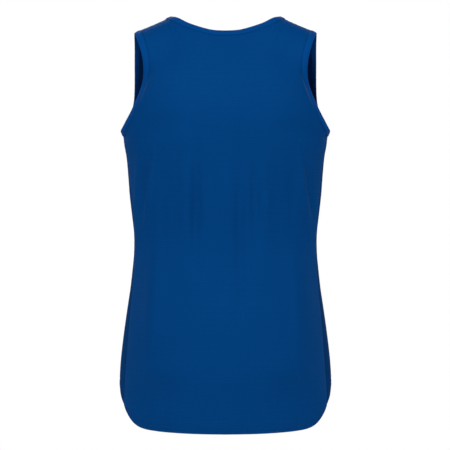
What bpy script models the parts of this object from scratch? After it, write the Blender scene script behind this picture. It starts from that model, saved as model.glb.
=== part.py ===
"""A running singlet filled out as when it is worn, with nobody in it.

Five sewn pieces: a back panel with a drop tail, a front panel that wraps round the sides, and
folded bindings round the neck and both armholes. The wearer faces -Y and the wearer's left is +X.

Sizes are in millimetres, and MM turns them into the scene's metres. Heights are measured up from
the lowest point of the back hem. The origin is midway between the two shoulder seams.
"""

from typing import Callable, NamedTuple

import bmesh
import bpy
import numpy as np

MM = 0.001
OBJECT_NAME = "running_singlet"

ORIGIN_HEIGHT = 705.0    # midway between the shoulder seams
UNDERARM_HEIGHT = 507.0  # where the side seams end at the armhole bindings
NECK_POINT_X = 102.0     # where each shoulder seam ends at the neck binding
NECK_POINT_HEIGHT = 713.4
TIP_X = 150.5            # where each shoulder seam ends at the armhole binding
TIP_HEIGHT = 692.0

WALL = 1.5               # knitted cloth
HEM_WALL = 2.2           # the hem is turned up once
HEM_DEPTH = 11.0
HEM_STEP = 1.0           # over which the turned hem thins out to the single cloth
BINDING_WIDTH = 8.6
BINDING_WALL = 2.4
SEAM_GAP = 0.3           # between any two pieces

SHOULDER_COLUMNS = 7     # across one shoulder seam
NECK_COLUMNS = 15        # across half of the neck edge
HALF_COLUMNS = NECK_COLUMNS + SHOULDER_COLUMNS
BODY_ROWS = 15           # from the hem up to the underarm
YOKE_ROWS = 14           # from the underarm up to the shoulder seam
EASING_ROUNDS = 3        # of a binding's directions
FINE = 121               # samples along one section, or up one column, when it is measured
LEAST_CLIMB = 0.1        # of any column that ends at the neck edge

ROYAL_BLUE = (0.0015, 0.046, 0.188)
BINDING_BLUE = (0.0012, 0.056, 0.246)
CLOTH_ROUGHNESS = 0.6
SMOOTH_ANGLE = np.radians(40)


class Level(NamedTuple):
    """One level of the body; above the underarm it is as if no armhole were cut from it."""

    height: float
    seam_x: float
    seam_y: float
    side_x: float      # the widest place, in front of the seam
    side_y: float
    back_y: float      # on the centre line
    front_y: float
    back_round: float  # 1 leaves a corner where the back meets the seam, 2 turns fully round it


LEVELS = (
    Level(0, 177.0, 2, 185.2, -16, 96, -116, 1.2),
    Level(50, 176.8, 2, 185.4, -16, 105, -120, 1.2),
    Level(110, 173.2, 2, 183.2, -16, 113, -124, 1.2),
    Level(190, 167.1, 2, 174.0, -14, 108, -127, 1.2),
    Level(260, 160.6, 2, 163.8, -12, 96, -125, 1.2),
    Level(325, 157.8, 3, 158.4, -10, 89, -122, 1.2),
    Level(400, 163.0, 4, 166.0, -8, 97, -125, 1.2),
    Level(470, 170.2, 6, 171.6, -4, 110, -129, 1.45),
    Level(507, 175.6, 7, 176.0, 5, 116, -130, 1.7),
    Level(543, 178.0, 6, 178.0, 5, 119.5, -131, 1.85),
    Level(578, 180.0, 5, 180.0, 4, 116, -126.5, 1.9),
    Level(626, 183.0, 4, 183.0, 3, 100, -112, 1.9),
)


class Crown(NamedTuple):
    """How far out the centre line is above the underarm, and on over an unbroken shoulder."""

    rise: float     # 0 at the underarm, 1 at the top
    back_y: float
    front_y: float


CROWNS = (
    Crown(0.00, 116, -130),
    Crown(0.15, 119.5, -131),
    Crown(0.30, 116, -126.5),
    Crown(0.50, 100, -112),
    Crown(0.70, 70.5, -85),
    Crown(0.85, 46, -56),
    Crown(0.96, 22, -25),
    Crown(1.00, 0, 0),
)


class ArmholeStation(NamedTuple):
    """Where an armhole's two edges are, on the way from the underarm up to the shoulder seam."""

    climb: float
    back_x: float
    back_y: float
    front_x: float
    front_y: float


ARMHOLE = (
    ArmholeStation(0.000, 175.8, 7, 175.8, 5),
    ArmholeStation(0.125, 170.5, 32, 173.6, -19),
    ArmholeStation(0.250, 162.5, 52, 167.0, -40),
    ArmholeStation(0.375, 150.0, 66, 158.0, -48),
    ArmholeStation(0.500, 135.4, 70, 155.0, -53),
    ArmholeStation(0.625, 132.6, 67, 153.4, -53),
    ArmholeStation(0.750, 139.0, 54, 151.6, -44),
    ArmholeStation(0.875, 147.0, 28, 151.0, -24),
    ArmholeStation(1.000, TIP_X, 0, TIP_X, 0),
)


class Across(NamedTuple):
    """One point of a line that runs from the centre of the garment outwards."""

    out: float     # a distance or a share of the panel's half width
    height: float


RIDGE = (  # top of the shoulders; inside the neck point it only guides the cloth below
    Across(0, 745),
    Across(60, 733),
    Across(88, 722),
    Across(NECK_POINT_X, NECK_POINT_HEIGHT),
    Across(127, 701.6),
    Across(TIP_X, TIP_HEIGHT),
)

BACK_NECK = (
    Across(0, 681.2),
    Across(24, 682.8),
    Across(46, 688.6),
    Across(68, 697.0),
    Across(88, 706.8),
    Across(NECK_POINT_X, NECK_POINT_HEIGHT),
)

FRONT_NECK = (
    Across(0, 617),
    Across(20, 619),
    Across(40, 626),
    Across(60, 643),
    Across(80, 673),
    Across(93, 698),
    Across(NECK_POINT_X, NECK_POINT_HEIGHT),
)

BACK_HEM = (  # by share of the half width
    Across(0, 0),
    Across(0.24, 0.7),
    Across(0.40, 1.8),
    Across(0.58, 3.7),
    Across(0.69, 5.9),
    Across(0.775, 9.9),
    Across(0.85, 17.6),
    Across(0.90, 25.3),
    Across(0.945, 33.3),
    Across(1, 44.5),
)

FRONT_HEM = (  # by share of the half width, highest beside the seam
    Across(0, 40),
    Across(0.25, 42.5),
    Across(0.50, 51),
    Across(0.70, 66),
    Across(0.83, 79),
    Across(0.88, 80.5),
    Across(0.915, 75),
    Across(0.94, 64),
    Across(0.965, 51.5),
    Across(1, 44.5),
)


class Fold(NamedTuple):
    """A soft ridge (rise above 0) or trough (below 0) that runs down a panel."""

    top_x: float
    top_height: float
    low_x: float
    low_height: float
    rise: float
    half_width: float


BACK_FOLDS = (
    Fold(120, 500, 126, 335, 4.0, 13),
    Fold(63, 520, 66, 320, 3.4, 12),
    Fold(46, 480, 50, 270, -2.4, 9),
    Fold(-5, 505, -5, 270, 2.6, 13),
    Fold(-51, 505, -53, 270, -2.6, 10),
    Fold(-68, 510, -73, 280, 3.4, 12),
    Fold(-124, 505, -134, 330, 4.2, 13),
    Fold(116, 370, 134, 95, 3.8, 20),
    Fold(-120, 365, -145, 95, 4.2, 20),
)

FRONT_FOLDS = (
    Fold(104, 560, 118, 330, 3.8, 14),
    Fold(38, 500, 44, 260, 2.6, 13),
    Fold(-22, 480, -20, 250, 2.8, 13),
    Fold(-80, 530, -88, 300, 3.6, 13),
    Fold(126, 350, 140, 110, 3.8, 19),
    Fold(-124, 380, -136, 120, 4.0, 20),
)

BACK_SQUARENESS = 2.8    # of a section: 2 is an ellipse, more is boxier
FRONT_SQUARENESS = 2.3
FRONT_ROUND = 2.0        # as back_round above
YOKE_ROUND = 1.2
YOKE_BLEND = 0.5         # the rise at which the body's own section has wholly given way

FLARE = 4.4              # how far the side seam kicks out under the armhole binding
FLARE_BELOW = 34.0       # heights over which it fades, and how sharply it fades across a panel
FLARE_ABOVE = 45.0
FLARE_POWER = 14


def column_of(table, key, value, at):
    """Values of one column of a table, on a smooth curve through its rows, at the given keys."""
    keys = np.array([getattr(row, key) for row in table], float)
    values = np.array([getattr(row, value) for row in table], float)
    slopes = np.gradient(values, keys)
    i = np.clip(np.searchsorted(keys, at, side="right") - 1, 0, len(keys) - 2)
    span = keys[i + 1] - keys[i]
    t = np.clip((at - keys[i]) / span, 0, 1)
    start = (1 + 2 * t) * (1 - t) ** 2 * values[i] + t * (1 - t) ** 2 * span * slopes[i]
    end = t**2 * (3 - 2 * t) * values[i + 1] - t**2 * (1 - t) * span * slopes[i + 1]
    return start + end


def columns_across():
    """Places of the columns as shares of a panel's half width: (even, at the top edge).

    At the top edge they crowd towards the neck points, where the neck edge turns over the shoulder.
    """
    round_neck = np.sin(np.linspace(0, np.pi / 2, NECK_COLUMNS + 1))
    neck_share = NECK_POINT_X / TIP_X
    shoulder = np.linspace(neck_share, 1, SHOULDER_COLUMNS + 1)
    half = np.concatenate([neck_share * round_neck, shoulder[1:]])
    return np.linspace(-1, 1, 2 * HALF_COLUMNS + 1), np.concatenate([-half[:0:-1], half])


def body_heights(hem):
    """Heights of the rows from a hem, one column each, up to the underarm."""
    turned = [hem, hem + HEM_DEPTH, hem + HEM_DEPTH + HEM_STEP]
    shares = np.linspace(0, 1, BODY_ROWS - 1)[1:]
    rest = [turned[-1] + share * (UNDERARM_HEIGHT - turned[-1]) for share in shares]
    return np.array(turned + rest)


def smooth_step(t):
    """Eases from 0 to 1 as t goes from 0 to 1."""
    t = np.clip(t, 0, 1)
    return t * t * (3 - 2 * t)


def section(seam, side, centre_y, squareness, roundness):
    """Half of one level's section, from the centre line out: x, y and the run of cloth so far.

    Seen from the seam, it goes straight to the side and then round to the centre line.
    """
    turn = np.linspace(0, np.pi / 2, FINE)
    out = np.sin(turn)
    out[-1] = 1
    bulge = (1 - out**squareness) ** (1 / roundness)
    x = np.append(side[0] * out, seam[0])
    y = np.append(side[1] + (centre_y - side[1]) * bulge, seam[1])
    run = np.concatenate([[0], np.cumsum(np.hypot(np.diff(x), np.diff(y)))])
    return x, y, run


def point_at(half_section, share):
    """Point of a section at a share of its cloth, from the centre line out."""
    x, y, run = half_section
    at = abs(share) * run[-1]
    return np.array([np.copysign(np.interp(at, run, x), share), np.interp(at, run, y)])


def flared(point, share, height):
    """A point moved out where the side seam kicks out under the armhole binding."""
    above = height - UNDERARM_HEIGHT
    kick = smooth_step(1 + above / FLARE_BELOW) * smooth_step(1 - above / FLARE_ABOVE)
    x, y = point
    return x + np.sign(x) * FLARE * kick * abs(share) ** FLARE_POWER, y, height


def back_body(height):
    """Half of the back panel's section at a height."""
    names = ("seam_x", "seam_y", "back_y", "back_round")
    x, y, centre_y, roundness = [column_of(LEVELS, "height", name, height) for name in names]
    return section((x, y), (x, y), centre_y, BACK_SQUARENESS, roundness)


def front_body(height):
    """Half of the front panel's section at a height."""
    names = ("seam_x", "seam_y", "side_x", "side_y", "front_y")
    level = [column_of(LEVELS, "height", name, height) for name in names]
    return section(level[0:2], level[2:4], level[4], FRONT_SQUARENESS, FRONT_ROUND)


class Panel(NamedTuple):
    """What shapes one panel: its section, its columns of the tables, its hem and its neck."""

    body: Callable
    edge: tuple
    centre: str
    squareness: float
    hem: tuple
    neck: tuple
    folds: tuple


BACK = Panel(back_body, ("back_x", "back_y"), "back_y", BACK_SQUARENESS,
             BACK_HEM, BACK_NECK, BACK_FOLDS)
FRONT = Panel(front_body, ("front_x", "front_y"), "front_y", FRONT_SQUARENESS,
              FRONT_HEM, FRONT_NECK, FRONT_FOLDS)


def body_point(panel, share, height):
    """Point of a panel below the underarm."""
    return flared(point_at(panel.body(height), share), share, height)


def yoke_point(panel, share, climb):
    """Point of a panel above the underarm.

    Low down it lies on the body's own section, short of where the armhole cuts it. Higher up
    it lies on a section that ends at the armhole's edge.
    """
    rise = (1 - np.cos(climb * np.pi)) / 2  # slow under the arm and over the shoulder
    ridge = column_of(RIDGE, "out", "height", abs(share) * TIP_X)
    height = UNDERARM_HEIGHT + (ridge - UNDERARM_HEIGHT) * rise
    edge = [column_of(ARMHOLE, "climb", name, climb) for name in panel.edge]
    centre = column_of(CROWNS, "rise", panel.centre, rise)
    whole = panel.body(height)
    cut = 1 - np.interp(edge[0], whole[0], whole[2]) / whole[2][-1]
    low = point_at(whole, share * (1 - cut * share**2))
    high = point_at(section(edge, edge, centre, panel.squareness, YOKE_ROUND), share)
    mix = smooth_step(rise / YOKE_BLEND)
    return flared(low + (high - low) * mix, share, height)


def top_climb(panel, share):
    """How far a column climbs that ends at this share: to the shoulder seam or the neck edge."""
    if abs(share) * TIP_X >= NECK_POINT_X - MM:
        return 1.0
    climbs = np.linspace(LEAST_CLIMB, 1, FINE)
    points = [yoke_point(panel, share, climb) for climb in climbs]
    above = [z - column_of(panel.neck, "out", "height", abs(x)) for x, _, z in points]
    return float(np.interp(0, above, climbs))


def fold_rise(folds, x, height):
    """How far the folds push the cloth out at a place on a panel."""
    rise = np.zeros_like(x)
    for fold in folds:
        along = (fold.top_height - height) / (fold.top_height - fold.low_height)
        middle = fold.top_x + (fold.low_x - fold.top_x) * along
        across = np.exp(-(((x - middle) / fold.half_width) ** 2))
        rise += fold.rise * across * np.sin(np.pi * np.clip(along, 0, 1)) ** 2
    return rise


def raise_folds(grid, folds):
    """Moves a panel's points out along its folds, apart from those on its side edges."""
    middle = grid[:, 1:-1]
    rise = fold_rise(folds, middle[..., 0], middle[..., 2])
    middle += outward_normals(grid)[:, 1:-1] * rise[..., None]


def panel_grid(panel):
    """The panel's outer face as a grid of points: rows up from the hem, columns across."""
    columns = []
    for share, top_share in zip(*columns_across()):
        hem_height = float(column_of(panel.hem, "out", "height", abs(share)))
        lower = [body_point(panel, share, height) for height in body_heights(hem_height)]
        climbs = np.linspace(0, top_climb(panel, top_share), YOKE_ROWS + 1)[1:]
        shares = np.linspace(share, top_share, YOKE_ROWS + 1)[1:]
        upper = [yoke_point(panel, *place) for place in zip(shares, climbs)]
        columns.append(np.array(lower + upper, float))
    grid = np.stack(columns, axis=1)
    raise_folds(grid, panel.folds)
    return grid


def unit(vectors):
    return vectors / np.linalg.norm(vectors, axis=-1, keepdims=True)


def outward_normals(grid):
    """Unit normals of a grid of points, facing away from the middle of the garment."""
    across = np.gradient(grid, axis=1)
    up = np.gradient(grid, axis=0)
    normals = unit(np.cross(across, up))
    facing = (normals[..., 1] * grid[..., 1]).sum()
    return normals * np.sign(facing)


def on_shoulder():
    """Columns that end on a shoulder seam, the neck points among them."""
    column = np.arange(2 * HALF_COLUMNS + 1)
    return column[np.abs(column - HALF_COLUMNS) >= NECK_COLUMNS]


def neck_ring():
    """Places (panel, row, column) round the neck edge: along the back, then back along the front."""
    column = np.arange(HALF_COLUMNS - NECK_COLUMNS, HALF_COLUMNS + NECK_COLUMNS + 1)
    there_and_back = np.concatenate([column, column[-2:0:-1]])
    return panel_of(column), np.full(len(there_and_back), -1), there_and_back


def armhole_ring(column):
    """Places (panel, row, column) round an armhole: up the back, then down the front."""
    row = np.arange(BODY_ROWS, BODY_ROWS + YOKE_ROWS + 1)
    there_and_back = np.concatenate([row, row[-2:0:-1]])
    return panel_of(row), there_and_back, np.full(len(there_and_back), column)


def panel_of(places):
    """Panel numbers for a way along the back, both of its ends included, and back on the front."""
    return np.repeat([0, 1], [len(places), len(places) - 2])


def eased(ring):
    """Unit vectors round a closed edge, each drawn towards its neighbours."""
    for _ in range(EASING_ROUNDS):
        ring = (np.roll(ring, 1, axis=0) + 2 * ring + np.roll(ring, -1, axis=0)) / 4
    return unit(ring)


def match_thickness(normals, rings):
    """Gives both panels one slanting thickness direction at seams, and eased ones at bindings."""
    back, front = normals
    side = np.s_[:BODY_ROWS + 1]
    for seam in ((side, 0), (side, -1), (-1, on_shoulder())):
        both = back[seam] + front[seam]
        cosine = (back[seam] * front[seam]).sum(axis=-1, keepdims=True)
        back[seam] = front[seam] = both / (1 + cosine)
    for ring in rings:
        normals[ring] = eased(unit(normals[ring]))
    for row, column in ((BODY_ROWS, 0), (BODY_ROWS, -1), (-1, 0), (-1, -1)):
        front[row, column] = back[row, column]
    for column in (HALF_COLUMNS - NECK_COLUMNS, HALF_COLUMNS + NECK_COLUMNS):
        front[-1, column] = back[-1, column]


def wall_by_row(rows):
    """Wall thickness of each row: the turned hem, then the single cloth."""
    return np.where(np.arange(rows) < 2, HEM_WALL, WALL)[:, None, None]


def pull_in_seams(grid):
    """Draws the grid's seam edges back by half of the gap between two pieces."""
    pulled = grid.copy()
    side = np.s_[:BODY_ROWS + 1]
    for edge, inner in ((0, 1), (-1, -2)):
        pulled[side, edge] += unit(grid[side, inner] - grid[side, edge]) * SEAM_GAP / 2
    shoulder = on_shoulder()
    pulled[-1, shoulder] += unit(grid[-2, shoulder] - grid[-1, shoulder]) * SEAM_GAP / 2
    return pulled


def grid_mesh(points):
    """A bmesh grid whose vertices stand at the given points; each keeps its place in a layer."""
    rows, columns = points.shape[:2]
    mesh = bmesh.new()
    bmesh.ops.create_grid(mesh, x_segments=columns - 1, y_segments=rows - 1, size=0.5)
    place = mesh.verts.layers.int.new("place")
    for vert in mesh.verts:
        row = round((vert.co.y + 0.5) * (rows - 1))
        column = round((vert.co.x + 0.5) * (columns - 1))
        vert[place] = row * columns + column
        vert.co = points[row, column]
    return mesh


def add_object(name, mesh, colour, parent):
    """Turns a bmesh in millimetres into a finished object in the part's frame."""
    for vert in mesh.verts:
        vert.co.z -= ORIGIN_HEIGHT
        vert.co *= MM
    bmesh.ops.recalc_face_normals(mesh, faces=mesh.faces)
    data = bpy.data.meshes.new(name)
    mesh.to_mesh(data)
    mesh.free()
    data.shade_smooth()
    data.set_sharp_from_angle(angle=SMOOTH_ANGLE)
    data.materials.append(cloth_material(name, colour))
    piece = bpy.data.objects.new(name, data)
    piece.parent = parent
    parent.users_collection[0].objects.link(piece)
    return piece


def cloth_material(name, colour):
    material = bpy.data.materials.new(name)
    material.use_nodes = True
    shader = material.node_tree.nodes["Principled BSDF"]
    shader.inputs["Base Color"].default_value = (*colour, 1)
    shader.inputs["Roughness"].default_value = CLOTH_ROUGHNESS
    shader.inputs["Metallic"].default_value = 0
    return material


def make_panel(name, outer, normals, parent):
    """A panel: its outer face, and its inner face drawn out of it across the wall."""
    inner = pull_in_seams(outer - normals * wall_by_row(len(outer)))
    mesh = grid_mesh(pull_in_seams(outer))
    drawn = bmesh.ops.extrude_face_region(mesh, geom=mesh.faces[:])
    place = mesh.verts.layers.int["place"]
    inner_points = inner.reshape(-1, 3)
    for vert in drawn["geom"]:
        if isinstance(vert, bmesh.types.BMVert):
            vert.co = inner_points[vert[place]]
    return add_object(name, mesh, ROYAL_BLUE, parent)


def binding_sections(path, normals, away):
    """Sections of a binding round a closed edge: a flat strip with a rounded fold.

    path holds the outer face's points along the edge, normals its normals there, and away is
    the sign that turns path direction and normal into the way out of the cloth.
    """
    tangent = unit(np.roll(path, -1, axis=0) - np.roll(path, 1, axis=0))
    out = away * unit(np.cross(tangent, normals))
    half = BINDING_WALL / 2
    fold = SEAM_GAP + BINDING_WIDTH
    profile = (
        (SEAM_GAP, -half / 2),
        (SEAM_GAP, half / 2),
        (SEAM_GAP + half, half),
        (fold, half / 2),
        (fold, -half / 2),
        (SEAM_GAP + half, -half),
    )
    middle = path - normals * WALL / 2
    return np.stack([middle + out * a + normals * b for a, b in profile], axis=1)


def make_binding(name, path, normals, away, parent):
    """A closed ring of binding, swept round an edge."""
    sections = binding_sections(path, normals, away)
    ring = np.concatenate([sections, sections[:1]])
    ring = np.concatenate([ring, ring[:, :1]], axis=1)
    mesh = grid_mesh(ring)
    bmesh.ops.remove_doubles(mesh, verts=mesh.verts, dist=MM)
    return add_object(name, mesh, BINDING_BLUE, parent)


def clear_scene():
    for old in list(bpy.data.objects):
        bpy.data.objects.remove(old)


def main():
    clear_scene()
    collection = bpy.data.collections.new(OBJECT_NAME)
    bpy.context.scene.collection.children.link(collection)
    origin = bpy.data.objects.new(OBJECT_NAME, None)
    collection.objects.link(origin)

    panels = np.stack([panel_grid(BACK), panel_grid(FRONT)])
    bindings = {
        "neck_binding": (neck_ring(), 1),
        "armhole_binding_left": (armhole_ring(-1), -1),
        "armhole_binding_right": (armhole_ring(0), 1),
    }
    normals = np.stack([outward_normals(grid) for grid in panels])
    match_thickness(normals, [ring for ring, _ in bindings.values()])
    make_panel("back_panel", panels[0], normals[0], origin)
    make_panel("front_panel", panels[1], normals[1], origin)
    for name, (ring, away) in bindings.items():
        make_binding(name, panels[ring], normals[ring], away, origin)


main()
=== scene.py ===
"""A running singlet filled out as when it is worn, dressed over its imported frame.

Each panel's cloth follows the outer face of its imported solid, with finer folds, puckers along the
sewing and a turned hem. Folded bindings finish the neck and armholes, and every visible line of
stitching is made of single stitches. The wearer faces -Y and the wearer's left is +X. All lengths
are in metres.
"""

import logging
import math
from dataclasses import dataclass, field
from enum import Enum

import bmesh
import bpy
import numpy as np
from mathutils import Euler, Matrix, Vector
from mathutils.kdtree import KDTree


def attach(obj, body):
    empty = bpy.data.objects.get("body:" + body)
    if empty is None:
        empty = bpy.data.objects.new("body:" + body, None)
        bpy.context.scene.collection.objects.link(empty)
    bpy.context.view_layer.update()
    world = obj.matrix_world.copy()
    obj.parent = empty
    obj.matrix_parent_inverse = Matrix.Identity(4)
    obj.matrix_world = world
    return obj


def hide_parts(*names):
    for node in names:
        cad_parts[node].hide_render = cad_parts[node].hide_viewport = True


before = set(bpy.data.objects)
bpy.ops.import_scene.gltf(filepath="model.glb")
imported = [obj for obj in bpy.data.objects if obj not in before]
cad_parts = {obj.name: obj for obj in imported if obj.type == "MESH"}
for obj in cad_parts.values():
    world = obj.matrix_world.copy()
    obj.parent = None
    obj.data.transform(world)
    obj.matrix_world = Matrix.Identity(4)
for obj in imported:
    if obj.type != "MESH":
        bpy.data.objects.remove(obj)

Array = np.ndarray
Mesh = bmesh.types.BMesh
Material = bpy.types.Material
Socket = bpy.types.NodeSocket

LOG = logging.getLogger("running_singlet")
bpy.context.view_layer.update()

BODY = "root"
WELD = 1e-5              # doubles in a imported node's loose triangles are merged within this
RIM_ANGLE = math.radians(72)  # a panel's outer face ends where it turns sharper than this
SEAM_REACH = 5e-4        # two panels' edges are sewn where they are nearer than this
CORNER_COSINE = 0.8      # a curve through points has a corner where it turns more than this
YOKE_FLOOR = -0.06       # shoulder seams lie above this height, side seams below it

THICKNESS_ROW = 2        # of a packed panel, just above its hem's; it only thins the wall
CLOTH_WALL = 0.0011
HEM_WALL = 0.0021        # the hem is turned up once
HEM_DEPTH = 0.0128
FRONT_CLOTH = "front_panel_cloth"
UV_MAP = "cloth_uv"      # metres across and up the cloth

WAVE_TURN = 560          # of the puckers along a line of sewing, in radians a metre
WANDER, WANDER_TURN = 1.9, 131  # how far and how fast their spacing wanders
SWELL = 0.55             # their size, and how it swells: by how much, and radians a metre
SWELLS = ((0.3, 77), (0.15, 203))

PUCKER_PHASES = {"right": 0.0, "left": 2.0, "down": 4.0, "up": 5.0}  # along each edge
FOLD_TAPER = 1.5         # how sharply a fold dies out towards its ends
HEM_ROUND = 0.0008       # height over which the hem's folded edge is rounded
HEM_BLEND = 0.0006       # half the height over which the turned hem thins to the single cloth
NORMAL_ROUNDS = 16       # of easing an edge's normals
AWAY_ROUNDS = 40         # of easing the ways off the cloth at it
STITCH_ROUNDS = 6        # of easing the normals under a line of stitches


class Side(Enum):
    """Which way a panel faces."""

    BACK = 1
    FRONT = -1


# ---- points and vectors


def unit(vectors: Array) -> Array:
    """Scales vectors to length 1."""
    return vectors / np.linalg.norm(vectors, axis=-1, keepdims=True)


def smooth_step(t: Array) -> Array:
    """Eases from 0 to 1 as t goes from 0 to 1."""
    t = np.clip(t, 0, 1)
    return t * t * (3 - 2 * t)


def run_along(points: Array) -> Array:
    """Measures the way along lines of points, which run along the first axis, to each point."""
    steps = np.linalg.norm(np.diff(points, axis=0), axis=-1)
    return np.concatenate([np.zeros_like(steps[:1]), np.cumsum(steps, axis=0)])


def closed(ring: Array) -> Array:
    """Repeats a ring's first row at its end."""
    return np.concatenate([ring, ring[:1]])


def smoothed(ring: Array, rounds: int) -> Array:
    """Draws a ring's rows towards their neighbours, that many times."""
    for _ in range(rounds):
        ring = (np.roll(ring, 1, axis=0) + 2 * ring + np.roll(ring, -1, axis=0)) / 4
    return ring


def values_at(at: Array, run: Array, values: Array) -> Array:
    """Interpolates rows of three values, known at the distances run, at other distances."""
    return np.stack([np.interp(at, run, values[:, axis]) for axis in range(3)], axis=1)


def tree_of(points: list) -> KDTree:
    """Sorts points for finding the nearest of them."""
    tree = KDTree(len(points))
    for number, point in enumerate(points):
        tree.insert(point, number)
    tree.balance()
    return tree


def slopes_of(points: Array) -> tuple[Array, Array]:
    """Finds the slopes of the smooth curves through rows of points, per metre of each curve.

    Where a curve turns a corner, the slopes before and after it follow the straight ways there.

    Args:
        points: rows of points.

    Returns:
        For each point, the slope with which its curve comes in, and that with which it goes on.
    """
    spans = np.diff(points, axis=0)
    length = np.linalg.norm(spans, axis=-1, keepdims=True)
    ways = spans / length
    coming = np.concatenate([ways[:1], ways])
    going = np.concatenate([ways, ways[-1:]])
    before = np.concatenate([length[:1], length])
    after = np.concatenate([length, length[-1:]])
    even = (coming * after + going * before) / (before + after)
    cosine = (coming * going).sum(axis=-1, keepdims=True)
    smooth = smooth_step((cosine - CORNER_COSINE) / (1 - CORNER_COSINE) * 2)
    return coming + (even - coming) * smooth, going + (even - going) * smooth


def refine(points: Array, steps: Array) -> Array:
    """Adds points between those along the first axis, on smooth curves through them.

    Args:
        points: rows of points.
        steps: for each span between rows, about how far apart its new rows are.

    Returns:
        The given rows, in their places, and the new ones between them.
    """
    coming, going = slopes_of(points)
    length = np.linalg.norm(np.diff(points, axis=0), axis=-1, keepdims=True)
    rows = []
    for i, span in enumerate(length):
        count = max(1, round(float(span.mean()) / steps[i]))
        for t in np.arange(count) / count:
            near = (1 + 2 * t) * (1 - t) ** 2 * points[i] + t * (1 - t) ** 2 * span * going[i]
            far = t * t * (3 - 2 * t) * points[i + 1] - t * t * (1 - t) * span * coming[i + 1]
            rows.append(near + far)
    rows.append(points[-1])
    return np.array(rows)


def ripple(run: Array, phase: float) -> Array:
    """Makes an uneven wave, as along a line of sewing.

    Args:
        run: distances along the sewing.
        phase: what sets one line's wave apart from another's.

    Returns:
        The wave's height at each distance, from -1 to 1.
    """
    wander = WANDER * np.sin(run * WANDER_TURN + phase * 3)
    swell = SWELL
    for number, (size, turn) in enumerate(SWELLS, 1):
        swell = swell + size * np.sin(run * turn + phase * number)
    return swell * np.sin(run * WAVE_TURN + wander + phase)


def outward_normals(grid: Array, side: Side) -> Array:
    """Finds the unit normals of a panel's grid of points, facing away from its wearer."""
    across = np.gradient(grid, axis=1)
    up = np.gradient(grid, axis=0)
    return unit(np.cross(across, up)) * -side.value


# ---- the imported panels


def outer_sheet(node: str, side: Side) -> Mesh:
    """Copies the outer face of a packed panel.

    Args:
        node: the panel's node.
        side: which way it faces.

    Returns:
        A sheet of triangles that ends at the panel's edges.
    """
    mesh = bmesh.new()
    mesh.from_mesh(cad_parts[node].data)
    bmesh.ops.remove_doubles(mesh, verts=mesh.verts, dist=WELD)
    farthest = max(mesh.faces, key=lambda face: face.calc_center_median().y * side.value)
    kept = {farthest}
    waiting = [farthest]
    while waiting:
        face = waiting.pop()
        for other in {other for edge in face.edges for other in edge.link_faces} - kept:
            if face.normal.angle(other.normal) < RIM_ANGLE:
                kept.add(other)
                waiting.append(other)
    rest = [face for face in mesh.faces if face not in kept]
    bmesh.ops.delete(mesh, geom=rest, context="FACES")
    return mesh


def steps_from(start: list) -> dict:
    """Counts the edges from a sheet's nearest starting vertex to each of its vertices."""
    steps = {vert: 0 for vert in start}
    reached = list(start)
    for vert in reached:
        for edge in vert.link_edges:
            other = edge.other_vert(vert)
            if other not in steps:
                steps[other] = steps[vert] + 1
                reached.append(other)
    return steps


def border_between(start: bmesh.types.BMVert, corners: list, way: int) -> list:
    """Walks a sheet's border from one corner to the next.

    Args:
        start: the corner to leave.
        corners: all of the corners.
        way: 0 or 1, which of the corner's two border edges to take.

    Returns:
        The vertices passed, both corners among them.
    """
    edge = [edge for edge in start.link_edges if edge.is_boundary][way]
    passed = [start, edge.other_vert(start)]
    while passed[-1] not in corners:
        edge = next(e for e in passed[-1].link_edges if e.is_boundary and e is not edge)
        passed.append(edge.other_vert(passed[-1]))
    return passed


def corners_of(sheet: Mesh, other: Mesh) -> tuple[list, list]:
    """Finds a panel's hem corners and shoulder tips: the far ends of its seams.

    Args:
        sheet: the panel's outer face.
        other: the face of the panel that it is sewn to.

    Returns:
        The two hem corners and the two tips, each with the wearer's right first.
    """
    tree = tree_of([vert.co for vert in other.verts])
    border = [vert for vert in sheet.verts if vert.is_boundary]
    sewn = [vert for vert in border if tree.find(vert.co)[2] < SEAM_REACH]
    shoulders = [vert for vert in sewn if vert.co.z > YOKE_FLOOR]
    tips = [min(shoulders, key=lambda v: v.co.x), max(shoulders, key=lambda v: v.co.x)]
    right = [vert for vert in sewn if vert.co.x < 0]
    left = [vert for vert in sewn if vert.co.x > 0]
    return [min(half, key=lambda v: v.co.z) for half in (right, left)], tips


def grid_of(sheet: Mesh, other: Mesh) -> Array:
    """Sorts a panel's points into rows up from the hem and columns from right to left.

    Args:
        sheet: the panel's outer face, whose triangles are halves of a grid's cells.
        other: the face of the panel that it is sewn to.

    Returns:
        The points, by row and column.
    """
    hem_ends, tips = corners_of(sheet, other)
    corners = hem_ends + tips
    borders = [border_between(hem_ends[0], corners, way) for way in (0, 1)]
    hem = next(line for line in borders if line[-1] is hem_ends[1])
    right = next(line for line in borders if line[-1] is tips[0])
    row, column = steps_from(hem), steps_from(right)
    grid = np.zeros((len(right), len(hem), 3))
    for vert in sheet.verts:
        grid[row[vert], column[vert]] = vert.co
    return grid


def packed_grids() -> dict[Side, Array]:
    """Reads both packed panels as grids of points."""
    sheets = {
        Side.BACK: outer_sheet("back_panel", Side.BACK),
        Side.FRONT: outer_sheet("front_panel", Side.FRONT),
    }
    grids = {
        Side.BACK: grid_of(sheets[Side.BACK], sheets[Side.FRONT]),
        Side.FRONT: grid_of(sheets[Side.FRONT], sheets[Side.BACK]),
    }
    for sheet in sheets.values():
        sheet.free()
    return grids


# ---- shader nodes


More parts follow.
